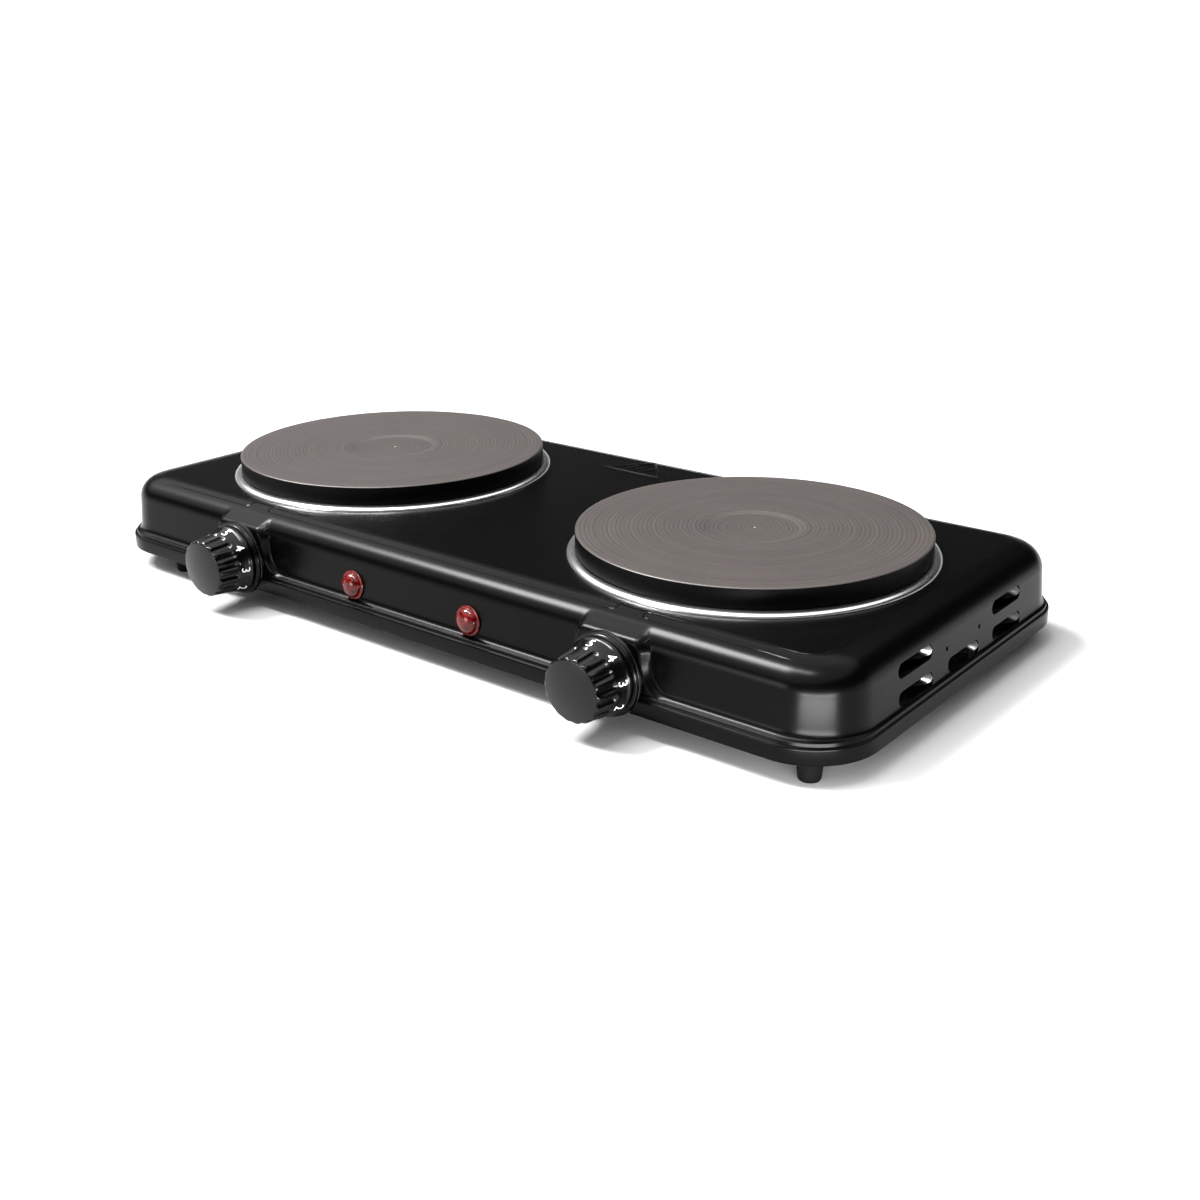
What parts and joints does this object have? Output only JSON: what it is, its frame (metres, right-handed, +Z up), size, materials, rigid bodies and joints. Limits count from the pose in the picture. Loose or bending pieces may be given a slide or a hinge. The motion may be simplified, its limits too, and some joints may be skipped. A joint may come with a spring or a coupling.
{
  "type": "double hot plate",
  "caption": "Portable electric hot plate: two round cast-iron plates set in a pressed steel case, each with a dial knob and a red indicator light.",
  "frame": {"origin": "below the middle of the outer box, on the surface the feet stand on", "axes": "+Z up, -Y the front with the knobs, +X to the right seen from the front, along the long side"},
  "size_m": [0.519, 0.28, 0.0665],
  "materials": {
    "black_enamel": "gloss black stoved enamel on pressed steel sheet",
    "galvanised_steel": "dull zinc-coated sheet",
    "zinc_steel": "bright zinc plate",
    "spring_steel": "plain spring steel",
    "cast_iron": "turned face with a burnt-in grey finish",
    "stainless_ring": "polished stainless steel",
    "coil_alloy": "heat-browned resistance alloy",
    "magnesia": "pressed chalky insulating powder",
    "aluminised_sheet": "bright aluminised sheet",
    "ceramic": "unglazed electrical ceramic",
    "brass": "machined",
    "phenolic_black": "gloss black moulding with white printed digits",
    "lens_red": "clear red moulding",
    "neon_glass": "small gas-filled glass tube",
    "foot_rubber": "matt black rubber",
    "nylon_black": "black nylon",
    "fuse_body": "resin-sealed fuse body",
    "lead_silicone": "off-white silicone lead insulation"
  },
  "bodies": {
    "base": {"housing_shell": "black_enamel", "base_plate": "galvanised_steel", "base_screws": "zinc_steel", "hotplate_left": "cast_iron", "hotplate_right": "cast_iron", "trim_ring_left": "stainless_ring", "trim_ring_right": "stainless_ring", "heating_coil_left": "coil_alloy", "heating_coil_right": "coil_alloy", "filler_left": "magnesia", "filler_right": "magnesia", "heat_shield_left": "aluminised_sheet", "heat_shield_right": "aluminised_sheet", "centre_stud_left": "zinc_steel", "centre_stud_right": "zinc_steel", "clamp_bar_left": "galvanised_steel", "clamp_bar_right": "galvanised_steel", "stud_nuts": "zinc_steel", "plate_terminal_left": "ceramic", "plate_terminal_right": "ceramic", "thermostat_left": "ceramic", "thermostat_right": "ceramic", "thermostat_nuts": "zinc_steel", "knob_bezel_left": "phenolic_black", "knob_bezel_right": "phenolic_black", "indicator_lens_left": "lens_red", "indicator_lens_right": "lens_red", "neon_lamp_left": "neon_glass", "neon_lamp_right": "neon_glass", "lamp_clips": "spring_steel", "foot_front_left": "foot_rubber", "foot_front_right": "foot_rubber", "foot_rear_left": "foot_rubber", "foot_rear_right": "foot_rubber", "foot_screws": "zinc_steel", "cord_gland": "nylon_black", "gland_nut": "nylon_black", "terminal_block": "ceramic", "terminal_screws": "zinc_steel", "earth_stud": "brass", "thermal_fuses": "fuse_body", "wire_loom_left": "lead_silicone", "wire_loom_right": "lead_silicone"},
    "knob_left_set": {"knob_left": "phenolic_black", "spindle_left": "brass", "knob_clip_left": "spring_steel"},
    "knob_right_set": {"knob_right": "phenolic_black", "spindle_right": "brass", "knob_clip_right": "spring_steel"},
    "plunger_left_body": {"plunger_left": "ceramic"},
    "plunger_right_body": {"plunger_right": "ceramic"}
  },
  "joints": [
    {"name": "knob_left_turn", "type": "hinge", "parent": "base", "child": "knob_left_set", "pos_m": [-0.1344, -0.112, 0.0265], "axis": [0, -1, 0], "range_deg": [0, 216]},
    {"name": "knob_right_turn", "type": "hinge", "parent": "base", "child": "knob_right_set", "pos_m": [0.1344, -0.112, 0.0265], "axis": [0, -1, 0], "range_deg": [-13, 203]},
    {"name": "plunger_left_slide", "type": "slide", "parent": "base", "child": "plunger_left_body", "axis": [0, -1, 0], "range_m": [0, 0.0015]},
    {"name": "plunger_right_slide", "type": "slide", "parent": "base", "child": "plunger_right_body", "axis": [0, -1, 0], "range_m": [-0.00009, 0.00141]}
  ],
  "couplings": [
    {"joint": "plunger_left_slide", "follows": "knob_left_turn", "m_per_rad": 0.00039789},
    {"joint": "plunger_right_slide", "follows": "knob_right_turn", "m_per_rad": 0.00039789}
  ]
}
